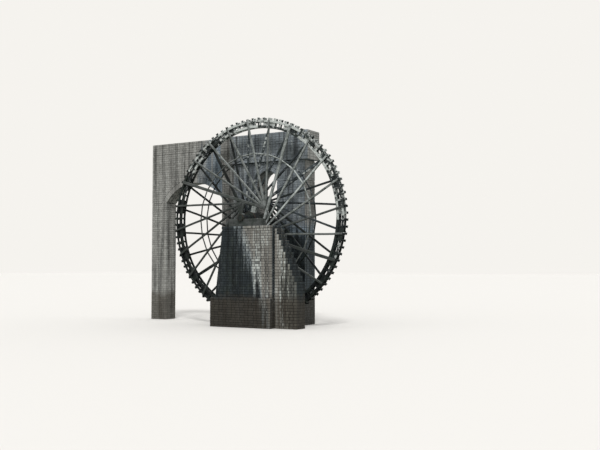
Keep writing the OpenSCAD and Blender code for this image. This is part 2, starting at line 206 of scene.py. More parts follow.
def limestone(name, zones, dry, damp, right=0.0, streaks=1.0, drip=None, mortar=0.4):
    """Squared limestone in lime mortar. Each stone has its own tone, hammer-dressed faces are matt and
    pitted, and water leaves dark runs and pale runs of lime. Where the wheel throws water the stone is
    black, smooth and slimy. A zone is a direction, an edge along it and how much wetter the stone gets
    beyond that edge. A longer direction makes a sharper edge. Right makes faces that look to +x wetter by
    that much: above zero this is painted shade as well as wetness, below zero it is painted light."""
    finish = bpy.context.scene.wheel_finishes
    material = bpy.data.materials.new(name)
    material.use_nodes = True
    tree = material.node_tree
    place = add(tree, "TexCoord").outputs["Object"]
    stone = add(tree, "Attribute", attribute_name="tone").outputs["Fac"]
    # The share of each face that looks to +x, which carries the painted side shading
    right_side_shading = add(tree, "Attribute", attribute_name="right").outputs["Fac"]
    # Blotches of a metre or so, pits of 3 cm (coarser than the real 5 mm, to show) and runs 20 cm wide
    blotch = add(tree, "TexNoise", {
        "Vector": place, "Scale": 1.1, "Detail": 6.0, "Roughness": 0.65}).outputs[0]
    pits = add(tree, "TexNoise", {
        "Vector": place, "Scale": 34.0, "Detail": 4.0, "Roughness": 0.7}).outputs[0]
    tall = add(tree, "VectorMath", {0: place, 1: (3.0, 3.0, 0.12)}, operation="MULTIPLY").outputs[0]
    runs = add(tree, "TexNoise", {
        "Vector": tall, "Scale": 1.0, "Detail": 5.0, "Roughness": 0.62}).outputs[0]
    thin = add(tree, "VectorMath", {0: place, 1: (5.5, 5.5, 0.24)}, operation="MULTIPLY").outputs[0]
    lime = add(tree, "TexNoise", {
        "Vector": thin, "Scale": 1.0, "Detail": 4.0, "Roughness": 0.6}).outputs[0]

    # The runs make the edge of every zone ragged, by up to 1.5 m to either side
    wet = 0.0
    for way, edge, amount in zones:
        beyond = add(tree, "VectorMath", {0: place, 1: way}, operation="DOT_PRODUCT").outputs["Value"]
        beyond = add(tree, "Math", {0: beyond, 1: 1.5 + edge}, operation="SUBTRACT").outputs[0]
        beyond = add(tree, "Math", {0: runs, 1: 3.0, 2: beyond},
                     operation="MULTIPLY_ADD", use_clamp=True).outputs[0]
        wet = add(tree, "Math", {0: beyond, 1: amount, 2: wet}, operation="MULTIPLY_ADD").outputs[0]
    # From here on wet also holds painted side shading: faces that look to +x get darker where right is
    # above zero, as wet and in shade, and paler where it is below, as lit
    wet = add(tree, "Math", {0: right_side_shading, 1: right, 2: wet},
              operation="MULTIPLY_ADD", use_clamp=True).outputs[0]

    # Dry, damp or black stone, in the tone of each stone and uneven with the blotches
    colour = add(tree, "ValToRGB", {"Fac": wet}, [
        (0.0, dry), (0.5, damp), (1.0, finish.wet_stone)]).outputs[0]
    tone = add(tree, "Math", {0: blotch, 1: 0.9, 2: 0.5}, operation="MULTIPLY_ADD").outputs[0]
    tone = add(tree, "Math", {0: tone, 1: stone}, operation="MULTIPLY").outputs[0]
    tone = add(tree, "Math", {0: tone, 1: 0.75, 2: 0.52}, operation="MULTIPLY_ADD").outputs[0]
    colour = add(tree, "Mix", {0: 1.0, 6: colour, 7: tone}, **TINT).outputs[2]
    # Algae grow in patches where the stone is wet
    green = add(tree, "ValToRGB", {"Fac": blotch}, [(0.5, grey(0)), (0.72, grey(0.5))]).outputs[0]
    green = add(tree, "Math", {0: green, 1: wet}, operation="MULTIPLY").outputs[0]
    colour = add(tree, "Mix", {0: green, 6: colour, 7: linear("#353b32")}, **BLEND).outputs[2]
    dark_runs = add(tree, "ValToRGB", {"Fac": runs}, [(0.46, grey(1)), (0.64, grey(0.36))]).outputs[0]
    colour = add(tree, "Mix", {0: 1.0, 6: colour, 7: dark_runs}, **TINT).outputs[2]

    # Lime settles most where the wall is neither dry nor always wet, and holds better on some stones
    where = add(tree, "ValToRGB", {"Fac": wet}, [
        (0.0, grey(0.5 * streaks)), (0.4, grey(0.95 * streaks)),
        (0.8, grey(0.25 * streaks)), (1.0, grey(0.04))]).outputs[0]
    more = add(tree, "Math", {0: where, 1: where}, operation="MULTIPLY").outputs[0]
    more = add(tree, "Math", {0: more, 1: 0.1, 2: lime}, operation="MULTIPLY_ADD").outputs[0]
    if drip:
        # One pale run, 0.8 m wide, hangs below the place where the bearing drips
        near = add(tree, "SeparateXYZ", {0: place}).outputs["X"]
        near = add(tree, "Math", {0: near, 1: drip, 2: 0.4}, operation="COMPARE").outputs[0]
        more = add(tree, "Math", {0: near, 1: 0.09, 2: more}, operation="MULTIPLY_ADD").outputs[0]
    pale_runs = add(tree, "ValToRGB", {"Fac": more}, [(0.53, grey(0)), (0.61, grey(1))]).outputs[0]
    pale_runs = add(tree, "Math", {0: pale_runs, 1: where}, operation="MULTIPLY").outputs[0]
    holds = add(tree, "MapRange", {0: stone, 1: 0.62, 2: 0.85, 3: 0.15, 4: 1.0}).outputs[0]
    pale_runs = add(tree, "Math", {0: pale_runs, 1: holds}, operation="MULTIPLY").outputs[0]
    colour = add(tree, "Mix", {0: pale_runs, 6: colour, 7: finish.lime}, **BLEND).outputs[2]

    # Silt lies on the lowest 2.5 m or so, which stand in the river
    depth = add(tree, "VectorMath", {0: place, 1: (0.0, 0.0, -1.6)},
                operation="DOT_PRODUCT").outputs["Value"]
    depth = add(tree, "Math", {0: blotch, 1: 2.6, 2: depth}, operation="MULTIPLY_ADD").outputs[0]
    depth = add(tree, "Math", {0: depth, 1: 3.2}, operation="ADD", use_clamp=True).outputs[0]
    depth = add(tree, "Math", {0: depth, 1: 0.65}, operation="MULTIPLY").outputs[0]
    silt = add(tree, "Mix", {0: 1.0, 6: finish.silt, 7: tone}, **TINT).outputs[2]
    colour = add(tree, "Mix", {0: depth, 6: colour, 7: silt}, **BLEND).outputs[2]
    pitted = add(tree, "ValToRGB", {"Fac": pits}, [(0.3, grey(0.7)), (0.6, grey(1.0))]).outputs[0]
    colour = add(tree, "Mix", {0: 1.0, 6: colour, 7: pitted}, **TINT).outputs[2]
    # Mortar has no tone of its own, and the more it is washed out, the darker it lies in the joints
    joints = add(tree, "MapRange", {0: stone, 1: 0.0, 2: 0.5, 3: mortar, 4: 1.0}).outputs[0]
    colour = add(tree, "Mix", {0: 1.0, 6: colour, 7: joints}, **TINT).outputs[2]
    rough = add(tree, "Math", {0: wet, 1: -0.35, 2: 0.92}, operation="MULTIPLY_ADD").outputs[0]
    relief = add(tree, "Math", {0: blotch, 1: 2.0, 2: pits}, operation="MULTIPLY_ADD").outputs[0]
    bump = add(tree, "Bump", {"Height": relief, "Strength": 0.8, "Distance": 0.012}).outputs[0]
    shader = tree.nodes["Principled BSDF"]
    tree.links.new(colour, shader.inputs["Base Color"])
    tree.links.new(rough, shader.inputs["Roughness"])
    tree.links.new(bump, shader.inputs["Normal"])
    shader.inputs["Specular IOR Level"].default_value = 0.12
    return material


def oak(name, base, lime, crust_from, rough):
    """Hewn and sawn oak. Sun and spray turn it silver grey, with open drying cracks along the grain. Where
    it stays wet it is nearly black. Upper faces are painted paler, as lit from above, and undersides are
    painted darker, as shaded. Hard water leaves a rough pale crust."""
    material = bpy.data.materials.new(name)
    material.use_nodes = True
    tree = material.node_tree
    place = add(tree, "TexCoord").outputs["Object"]
    grain = add(tree, "Attribute", attribute_name="grain").outputs["Vector"]
    tone = add(tree, "Attribute", attribute_name="tone").outputs["Fac"]
    up = add(tree, "Attribute", attribute_name="up").outputs["Fac"]
    # Growth bands 4 cm apart and cracks 2 cm apart, both coarser than the real ones so that they show
    bands = add(tree, "VectorMath", {0: grain, 1: (0.9, 24.0, 24.0)}, operation="MULTIPLY").outputs[0]
    bands = add(tree, "TexNoise", {
        "Vector": bands, "Scale": 1.0, "Detail": 6.0, "Roughness": 0.65}).outputs[0]
    cracks = add(tree, "VectorMath", {0: grain, 1: (0.8, 46.0, 46.0)}, operation="MULTIPLY").outputs[0]
    cracks = add(tree, "TexNoise", {"Vector": cracks, "Scale": 1.0, "Detail": 2.0}).outputs[0]
    cracks = add(tree, "ValToRGB", {"Fac": cracks}, [(0.33, grey(0)), (0.40, grey(1))]).outputs[0]
    # Dark or bleached by the growth bands and by the timber's own tone, with painted light on faces that
    # look up and painted shade on faces that look down
    mix = add(tree, "Math", {0: bands, 1: 0.6, 2: -0.28}, operation="MULTIPLY_ADD").outputs[0]
    mix = add(tree, "Math", {0: tone, 1: 1.1, 2: mix}, operation="MULTIPLY_ADD").outputs[0]
    mix = add(tree, "Math", {0: up, 1: 0.26, 2: mix},
              operation="MULTIPLY_ADD", use_clamp=True).outputs[0]
    colour = add(tree, "ValToRGB", {"Fac": mix}, [
        (0.2, shade(base, 0.2)), (0.6, shade(base, 0.62)), (1.0, shade(base, 2.2))]).outputs[0]
    # Algae and crust share their patches, about 40 cm across
    lumps = add(tree, "TexNoise", {
        "Vector": place, "Scale": 2.3, "Detail": 9.0, "Roughness": 0.72}).outputs[0]
    algae = add(tree, "ValToRGB", {"Fac": lumps}, [(0.42, grey(0.65)), (0.53, grey(0))]).outputs[0]
    colour = add(tree, "Mix", {0: algae, 6: colour, 7: linear("#2a322c")}, **BLEND).outputs[2]
    # The timbers that have drained longest have the most lime on them
    limed = add(tree, "Math", {0: tone, 1: 0.45, 2: lumps}, operation="MULTIPLY_ADD").outputs[0]
    crust = add(tree, "ValToRGB", {"Fac": limed}, [
        (crust_from, grey(0)), (crust_from + 0.08, grey(0.85))]).outputs[0]
    colour = add(tree, "Mix", {0: crust, 6: colour, 7: lime}, **BLEND).outputs[2]
    dark = add(tree, "Math", {0: cracks, 1: 0.6, 2: 0.4}, operation="MULTIPLY_ADD").outputs[0]
    colour = add(tree, "Mix", {0: 1.0, 6: colour, 7: dark}, **TINT).outputs[2]
    relief = add(tree, "Math", {0: lumps, 1: 1.6, 2: bands}, operation="MULTIPLY_ADD").outputs[0]
    relief = add(tree, "Math", {0: cracks, 1: 0.8, 2: relief}, operation="MULTIPLY_ADD").outputs[0]
    bump = add(tree, "Bump", {"Height": relief, "Strength": 0.7, "Distance": 0.008}).outputs[0]
    shader = tree.nodes["Principled BSDF"]
    tree.links.new(colour, shader.inputs["Base Color"])
    tree.links.new(bump, shader.inputs["Normal"])
    shader.inputs["Roughness"].default_value = rough
    shader.inputs["Specular IOR Level"].default_value = 0.2
    return material


def forged_iron():
    """Wrought iron, hammered by hand and left bare: brown scale with brighter rust, dull and lumpy."""
    material = bpy.data.materials.new("forged_iron")
    material.use_nodes = True
    tree = material.node_tree
    place = add(tree, "TexCoord").outputs["Object"]
    scale = add(tree, "TexNoise", {
        "Vector": place, "Scale": 16.0, "Detail": 8.0, "Roughness": 0.7}).outputs[0]
    colour = add(tree, "ValToRGB", {"Fac": scale}, [
        (0.3, linear("#211f1e")), (0.55, linear("#3c312a")), (0.75, linear("#5a4535"))]).outputs[0]
    bump = add(tree, "Bump", {"Height": scale, "Strength": 0.6, "Distance": 0.004}).outputs[0]
    shader = tree.nodes["Principled BSDF"]
    tree.links.new(colour, shader.inputs["Base Color"])
    tree.links.new(bump, shader.inputs["Normal"])
    shader.inputs["Roughness"].default_value = 0.75
    shader.inputs["Metallic"].default_value = 0.35
    return material


def finish_of(name):
    """The material of that name, made at its first use."""
    made = bpy.data.materials.get(name)
    if made:
        return made
    finish = bpy.context.scene.wheel_finishes
    makers = {
        # Wet on the left of a line that leans to the right going down; faces that look right are painted
        # near-black, as wet and in shade
        "pier_limestone": lambda: limestone(
            name, [((-0.85, 0.0, -0.32), -3.5, 1.0)],
            finish.dry_stone, finish.damp_stone, right=1.0, drip=2.15),
        # Wet at the joint with the pier and on the far right; faces that look right are painted near-black,
        # as wet and in shade
        "buttress_limestone": lambda: limestone(name, [
            ((-6.0, 0.0, 0.0), -22.6, 1.0), ((1.2, 0.0, 0.0), 4.9, 0.8)],
            finish.dry_stone, finish.damp_rubble, right=1.0),
        # Damp all over, black low down where the wheel throws water, less damp and paler in a patch at the
        # left, which also stands in for light falling there; faces that look right are painted paler, as
        # lit
        "tower_limestone": lambda: limestone(name, [
            ((0.0, 0.0, 0.0), -9.0, 0.3), ((0.0, 0.0, -0.7), -6.2, 0.9), ((-1.0, 0.0, 0.0), 3.2, -0.36)],
            finish.high_stone, finish.high_damp, right=-0.3, streaks=0.35, mortar=1.3),
        "aqueduct_limestone": lambda: limestone(
            name, [((0.4, 0.0, -0.1), -4.6, 0.55)],
            finish.high_stone, finish.high_damp, streaks=0.45, mortar=1.3),
        "silver_oak": lambda: oak(name, finish.pale_timber, finish.lime, 0.92, 0.8),
        "black_oak": lambda: oak(name, finish.wet_timber, finish.lime, 0.8, 0.5),
        # The rings hold more lime than the boards, and the spokes behind, out of the sun, hardly any
        "limed_oak": lambda: oak(name, finish.wet_timber, finish.lime, 0.73, 0.6),
        # The spokes, struts and clasp arms behind are the same oak as those in front, painted nearly black
        # as the shade they stand in
        "shaded_back_oak": lambda: oak(name, finish.wet_timber, finish.lime, 0.92, 0.5),
        "forged_iron": forged_iron,
    }
    return makers[name]()


# Stonework

def points_of(node):
    """The corners of a node."""
    return [vert.co for vert in frame["nodes"][node].data.vertices]


def box_of(node):
    """A node's outline as x0, x1, y0, y1, and its bottom and top."""
    low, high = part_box(node)
    return (low.x, high.x, low.y, high.y), low.z, high.z


def parts_of(verts):
    """Vertices with their edges and faces, each once and in the same order on every run."""
    edges = [edge for vert in verts for edge in vert.link_edges]
    faces = [face for vert in verts for face in vert.link_faces]
    return list(dict.fromkeys([*verts, *edges, *faces]))


def wear_edges(bm, edges, width):
    """Wears edges down to narrow flats."""
    bmesh.ops.bevel(bm, geom=edges, offset=width, offset_type="OFFSET", segments=1, profile=0.5,
                    affect="EDGES", material=-1, clamp_overlap=True)


def split_run(rng, start, end, size):
    """Cuts a run of wall into stones of about one size, with joints that miss those of the next course."""
    count = max(1, round((end - start) / size + rng.uniform(-0.4, 0.4)))
    step = (end - start) / count
    cuts = [start] + [start + step * (i + rng.uniform(-0.24, 0.24)) for i in range(1, count)] + [end]
    return list(zip(cuts, cuts[1:]))


def lay_stone(bm, rng, low, high, tilt=0.0):
    """Lays one squared stone between two corners, each face a little behind the wall's plane."""
    sizes = bpy.context.scene.wheel_stones
    gap = Vector((1, 1, 1)) * sizes.joint / 2
    back = Vector([rng.uniform(0, SET_BACK) for _ in range(3)])
    low, high = Vector(low) + gap + back, Vector(high) - gap - back
    turn = Euler([rng.uniform(-tilt, tilt) for _ in range(3)])
    place = Matrix.LocRotScale((low + high) / 2, turn, high - low)
    made = bmesh.ops.create_cube(bm, size=1, matrix=place)
    tone = bm.faces.layers.float["tone"]
    value = rng.uniform(0.6, 1.0)
    for face in {face for vert in made["verts"] for face in vert.link_faces}:
        face[tone] = value
    return made["verts"]


def cut_stone(bm, verts, spot, way):
    """Cuts a stone off behind a plane and closes the cut."""
    cut = bmesh.ops.bisect_plane(bm, geom=parts_of(verts), dist=0.0001, plane_co=spot, plane_no=way,
                                 clear_inner=True)
    rim = [edge for edge in cut["geom_cut"] if isinstance(edge, bmesh.types.BMEdge)]
    bmesh.ops.edgeloop_fill(bm, edges=rim)


def cut_round(bm, verts, low, high, ring):
    """Cuts a stone to the back of an arch, or takes it away where the arch fills its place."""
    centre, radius = Vector((ring[0], 0, ring[1])), ring[2]
    middle = Vector(((low[0] + high[0]) / 2, 0, (low[2] + high[2]) / 2))
    corners = [Vector((x, 0, z)) for x in (low[0], high[0]) for z in (low[2], high[2])]
    nearest = Vector((min(max(centre.x, low[0]), high[0]), 0,
                      min(max(centre.z, low[2]), high[2])))
    if (nearest - centre).length >= radius:
        return
    out = (middle - centre).normalized()
    if max((corner - centre) @ out for corner in corners) < radius + SLIVER:
        bmesh.ops.delete(bm, geom=verts, context="VERTS")
        return
    cut_stone(bm, verts, centre + out * (radius + SET_BACK), out)


def lay_courses(bm, rng, bottom, top, outline, fill_top=False, ring=None, tilt=0.0, course=None):
    """Lays a block of masonry in courses round its outline, lapped at the corners."""
    sizes = bpy.context.scene.wheel_stones
    count = max(1, round((top - bottom) / (course or sizes.course)))
    rise = (top - bottom) / count
    for k in range(count):
        z0, z1 = bottom + k * rise, bottom + (k + 1) * rise
        x0, x1, y0, y1 = outline((z0 + z1) / 2)
        bed = sizes.bed
        lap = bed if k % 2 else 0.0
        rest = bed - lap
        # Each stone is its left, front, right and back
        stones = []
        if y1 - y0 < 2 * bed:
            stones += [(a, y0, b, y1) for a, b in split_run(rng, x0, x1, sizes.length)]
        elif x1 - x0 < 2 * bed:
            stones += [(x0, a, x1, b) for a, b in split_run(rng, y0, y1, sizes.length)]
        else:
            for c, d in ((y0, y0 + bed), (y1 - bed, y1)):
                stones += [(a, c, b, d) for a, b in split_run(rng, x0 + lap, x1 - lap, sizes.length)]
            for c, d in ((x0, x0 + bed), (x1 - bed, x1)):
                stones += [(c, a, d, b) for a, b in split_run(rng, y0 + rest, y1 - rest, sizes.length)]
            if fill_top and k == count - 1:
                for c, d in split_run(rng, y0 + bed, y1 - bed, bed):
                    stones += [(a, c, b, d) for a, b in split_run(rng, x0 + bed, x1 - bed, sizes.length)]
        for a, c, b, d in stones:
            low, high = (a, c, z0), (b, d, z1)
            verts = lay_stone(bm, rng, low, high, tilt)
            if ring:
                cut_round(bm, verts, low, high, ring)


def lay_arch(bm, rng, centre, inner, outer, first, last, y0, y1, length, bottom=None, side=None):
    """Lays an arch of wedge stones: squared stones on a straight run, then bent round the centre. With a
    bottom, the stones that go below it are cut level there, as springers are, and with a side, the stones
    that go past it are cut upright at that wall."""
    middle = (inner + outer) / 2
    sizes = bpy.context.scene.wheel_stones
    for c, d in split_run(rng, y0, y1, sizes.length):
        count = round((last - first) * middle / length)
        for i in range(count):
            a, b = (first + (last - first) * (i + step) / count for step in (0, 1))
            verts = lay_stone(bm, rng, (a * middle, c, inner), (b * middle, d, outer))
            for vert in verts:
                angle, reach = vert.co.x / middle, vert.co.z
                vert.co.x = centre[0] + reach * math.cos(angle)
                vert.co.z = centre[1] + reach * math.sin(angle)
            # The bend turns the stone inside out
            faces = [part for part in parts_of(verts) if isinstance(part, bmesh.types.BMFace)]
            bmesh.ops.reverse_faces(bm, faces=faces)
            if bottom and min(vert.co.z for vert in verts) < bottom:
                cut_stone(bm, verts, Vector((0, 0, bottom + sizes.joint / 2)), Vector((0, 0, 1)))
            elif side and max(vert.co.x for vert in verts) > side:
                cut_stone(bm, verts, Vector((side - sizes.joint / 2, 0, 0)), Vector((-1, 0, 0)))


def start_stones():
    """An empty mesh whose faces can hold the tone of their stone."""
    bm = bmesh.new()
    bm.faces.layers.float.new("tone")
    return bm


def add_mortar(bm, node):
    """Adds the mortar behind the stones: the node's own solid, drawn in from its faces all round."""
    sizes = bpy.context.scene.wheel_stones
    core = bmesh.new()
    core.from_mesh(frame["nodes"][node].data)
    bmesh.ops.remove_doubles(core, verts=core.verts, dist=0.0005)
    bmesh.ops.dissolve_limit(core, angle_limit=0.01, verts=core.verts, edges=core.edges)
    core.normal_update()
    moves = [(vert, vert.normal * vert.calc_shell_factor() * sizes.recess) for vert in core.verts]
    for vert, move in moves:
        vert.co -= move
    mesh = bpy.data.meshes.new("mortar")
    core.to_mesh(mesh)
    core.free()
    bm.from_mesh(mesh)
    bpy.data.meshes.remove(mesh)


def finish_stones(bm, name, nodes, finish):
    """Wears the stones' edges, adds the mortar and turns the mesh into a piece in place of its nodes."""
    wear_edges(bm, bm.edges[:], bpy.context.scene.wheel_stones.arris)
    # Faces dressed by hand are uneven by up to 3 mm
    for vert in bm.verts:
        vert.co += noise.noise_vector(vert.co * 5.0) * 0.003
    for node in nodes:
        add_mortar(bm, node)
    bm.normal_update()
    # How far each face looks to +x, which the limestone turns into painted shade on the pier and buttress
    # and painted light on the tower
    right = bm.faces.layers.float.new("right")
    for face in bm.faces:
        face[right] = max(0.0, face.normal.x)
    finish_piece(bm, name, nodes, "masonry", finish)


def finish_piece(bm, name, nodes, body, finish):
    """Turns a mesh into a piece that rides on a body and stands for CAD nodes."""
    mesh = bpy.data.meshes.new(name)
    bm.to_mesh(mesh)
    bm.free()
    if not mesh.polygons:
        raise RuntimeError(f"{name} has no faces")
    mesh.materials.append(finish_of(finish))
    piece = bpy.data.objects.new(name, mesh)
    bpy.context.scene.collection.objects.link(piece)
    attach(piece, body)
    if nodes:
        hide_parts(*nodes)


def plain_block(node, seed, finish, **how):
    """Lays one straight-sided block of masonry in place of its node."""
    outline, bottom, top = box_of(node)
    bm = start_stones()
    lay_courses(bm, random.Random(seed), bottom, top, lambda z: outline, **how)
    finish_stones(bm, node + "_stones", [node], finish)


def wall_width():
    """Thickness of the channel's walls."""
    low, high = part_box("channel_end_wall")
    return high.x - low.x


# Timber

def timbers_of(bm):
    """Lists the vertices of each separate timber."""
    left = dict.fromkeys(bm.verts)
    groups = []
    while left:
        stack = [next(iter(left))]
        del left[stack[0]]
        group = []
        while stack:
            vert = stack.pop()
            group.append(vert)
            for edge in vert.link_edges:
                other = edge.other_vert(vert)
                if other in left:
                    del left[other]
                    stack.append(other)
        groups.append(group)
    return groups


def lie_of(group):
    """A timber's centre and its long, middle and short directions."""
    points = numpy.array([vert.co for vert in group])
    centre = (points.min(0) + points.max(0)) / 2
    spread = points - points.mean(0)
    _, ways = numpy.linalg.eigh(spread.T @ spread)
    return Vector(centre), [Vector(ways[:, i]) for i in (2, 1, 0)]


def bend(point, amount):
    """Small bends of hand-hewn timber, along the axle and round it only. Timbers that touch bend alike.
    A bend is about 2 m long, and bends fade out within 3 m of the axle."""
    arm = point - AXLE
    reach = math.hypot(arm.x, arm.z)
    push = noise.noise_vector(point * 0.45) * amount * min(reach / 3, 1.0)
    turn = push.x / max(reach, 1.0)
    spot = Matrix.Rotation(turn, 3, "Y") @ arm
    return AXLE + spot + Vector((0, push.y, 0))


def hewn_copy(node, wear=0.001, step=0.0):
    """Copies a node's timbers and wears their edges, hardly at all where the copy is only measured. With a
    step, cuts them along their length so that they can bend."""
    bm = bmesh.new()
    bm.from_mesh(frame["nodes"][node].data)
    bmesh.ops.remove_doubles(bm, verts=bm.verts, dist=0.0001)
    bmesh.ops.dissolve_limit(bm, angle_limit=0.012, verts=bm.verts, edges=bm.edges)
    if step:
        for group in timbers_of(bm):
            centre, (long, _, _) = lie_of(group)
            half = max(abs((vert.co - centre) @ long) for vert in group)
            count = max(1, round(2 * half / step))
            for i in range(1, count):
                spot = centre + long * half * (2 * i / count - 1)
                cut = bmesh.ops.bisect_plane(bm, geom=parts_of(group), dist=0.0001, plane_co=spot,
                                             plane_no=long)
                group += [vert for vert in cut["geom_cut"] if isinstance(vert, bmesh.types.BMVert)]
    sharp = [edge for edge in bm.edges if len(edge.link_faces) == 2 and edge.calc_face_angle(0) > 0.3]
    wear_edges(bm, sharp, wear)
    return bm


def mark_grain(bm, seed, curved=False):
    """Gives every timber its own grain, as lengths along and across it, and its own tone, dark to pale."""
    rng = random.Random(seed)
    grain = bm.verts.layers.float_vector.new("grain")
    tone = bm.verts.layers.float.new("tone")
    for group in timbers_of(bm):
        centre, (long, middle, short) = lie_of(group)
        shift = Vector([rng.uniform(-50, 50) for _ in range(3)])
        # Timbers at the top have drained longest and are the palest
        away = centre - AXLE
        high = (DRAINED[0] * away.x + DRAINED[1] * away.z) / max(math.hypot(away.x, away.z), 1.0)
        value = max(0.0, 0.5 * rng.random() + 0.5 * max(-0.5, high))
        for vert in group:
            arm = vert.co - AXLE
            reach = math.hypot(arm.x, arm.z)
            if curved:
                lie = Vector((math.atan2(arm.z, arm.x) * RIM_R, reach, arm.y))
            else:
                away = vert.co - centre
                lie = Vector((away @ long, away @ middle, away @ short))
            vert[grain] = lie + shift
            vert[tone] = value


def wear_ends(bm, rng, depth):
    """Wears the outer end of every board back by its own amount, one corner more than the other."""
    for group in timbers_of(bm):
        tip = max(math.hypot(vert.co.x - AXLE.x, vert.co.z - AXLE.z) for vert in group)
        front, back = rng.uniform(0, depth), rng.uniform(0, depth)
        near, far = min(vert.co.y for vert in group), max(vert.co.y for vert in group)
        for vert in group:
            arm = Vector((vert.co.x - AXLE.x, 0, vert.co.z - AXLE.z))
            # Only the corners of the outer end move
            if arm.length > tip - 0.03:
                share = (vert.co.y - near) / (far - near)
                vert.co -= arm.normalized() * (front + (back - front) * share)


def dress_timbers(node, seed, body, finish, wear, step=0.0, curved=False, ragged=0.0):
    """Makes the worn, grained timbers that stand for one node."""
    bm = hewn_copy(node, wear, step)
    mark_grain(bm, seed, curved)
    if ragged:
        wear_ends(bm, random.Random(seed), ragged)
    if body == "wheel":
        amount = bpy.context.scene.wheel_timbers.bend
        for vert in bm.verts:
            vert.co = bend(vert.co, amount)
    bm.normal_update()
    # How far each face looks up, for the oak's painted light on upper faces and painted shade on undersides
    up = bm.faces.layers.float.new("up")
    for face in bm.faces:
        face[up] = face.normal.z
    finish_piece(bm, node + "_oak", [node], body, finish)


def ring_middle(node):
    """Radius of the middle line of a ring of felloes."""
    reach = [math.hypot(point.x - AXLE.x, point.z - AXLE.z) for point in points_of(node)]
    return (min(reach) + max(reach)) / 2


def add_head(bm, spot, out):
    """One low round head of a peg or bolt, sunk a little into the face that it stands on."""
    size = bpy.context.scene.wheel_timbers.peg
    turn = out.to_track_quat("Z", "Y")
    place = Matrix.LocRotScale(spot + out * size * 0.22, turn, None)
    bmesh.ops.create_cone(bm, cap_ends=True, segments=8, radius1=size, radius2=size * 0.6,
                          depth=size * 0.5, matrix=place)


# Operators

class WHEEL_OT_pier(bpy.types.Operator):
    """Lay the front pier, its cap course and its footing"""
    bl_idname = "wheel.pier"
    bl_label = "Front pier"

    def execute(self, context):
        (x0, x1, y0, y1), bottom, top = box_of("front_pier")
        # The left face leans back from the foot to its top edge
        edge = min(point.x for point in points_of("front_pier") if point.z > top - 0.01)
        lean = (edge - x0) / (top - bottom)
        bm = start_stones()
        lay_courses(bm, random.Random(11), bottom, top, lambda z: (x0 + lean * (z - bottom), x1, y0, y1))
        finish_stones(bm, "front_pier_stones", ["front_pier"], "pier_limestone")
        plain_block("front_pier_cap", 12, "pier_limestone", fill_top=True)
        plain_block("front_pier_foot", 13, "pier_limestone")
        return {"FINISHED"}


class WHEEL_OT_buttress(bpy.types.Operator):
    """Lay the rubble buttress in steps"""
    bl_idname = "wheel.buttress"
    bl_label = "Stepped buttress"

    def execute(self, context):
        (_, _, y0, y1), _, _ = box_of("stepped_buttress")
        points = points_of("stepped_buttress")
        rises = sorted({round(point.z, 3) for point in points})
        start = min(point.x for point in points if point.y < y0 + 0.01)
        bm = start_stones()
        rng = random.Random(14)
        for low, high in zip(rises, rises[1:]):
            edge = max(point.x for point in points if point.z > high - 0.01)
            lay_courses(bm, rng, low, high, lambda z: (start, edge, y0, y1),
                        fill_top=True, tilt=0.02, course=0.24)
        finish_stones(bm, "stepped_buttress_stones", ["stepped_buttress"], "buttress_limestone")
        return {"FINISHED"}


class WHEEL_OT_tower(bpy.types.Operator):
    """Lay the head tower with its arched window"""
    bl_idname = "wheel.tower"
    bl_label = "Head tower"

    def execute(self, context):
        plain_block("tower_base", 21, "tower_limestone", fill_top=True)
        plain_block("tower_left_jamb", 22, "tower_limestone")
        plain_block("tower_right_jamb", 23, "tower_limestone")
        (x0, x1, y0, y1), bottom, _ = box_of("window_arch")
        outer = (x1 - x0) / 2
        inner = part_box("tower_right_jamb")[0].x
        plain_block("tower_head", 24, "tower_limestone", ring=(0.0, bottom, outer))
        bm = start_stones()
        lay_arch(bm, random.Random(25), (0.0, bottom), inner, outer, 0.0, math.pi, y0, y1, WINDOW_WEDGE)
        finish_stones(bm, "window_arch_stones", ["window_arch"], "tower_limestone")
        return {"FINISHED"}


class WHEEL_OT_channel(bpy.types.Operator):
    """Lay the block that carries the channel, and the channel's walls"""
    bl_idname = "wheel.channel"
    bl_label = "Channel"

    def execute(self, context):
        plain_block("channel_block", 31, "tower_limestone", course=0.25)
        wall = wall_width()
        for seed, node in enumerate(("channel_front_wall", "channel_back_wall"), 32):
            (x0, x1, y0, y1), bottom, top = box_of(node)
            front = node == "channel_front_wall"
            near, far = (y0, y0 + wall) if front else (y1 - wall, y1)
            # The wall turns the corner at its left end
            turn = (y0 + wall, y1) if front else (y0, y1 - wall)
            bm = start_stones()
            rng = random.Random(seed)
            lay_courses(bm, rng, bottom, top, lambda z: (x0, x1, near, far))
            lay_courses(bm, rng, bottom, top, lambda z: (x0, x0 + wall, *turn))
            finish_stones(bm, node + "_stones", [node], "tower_limestone")
        plain_block("channel_end_wall", 34, "tower_limestone")
        return {"FINISHED"}


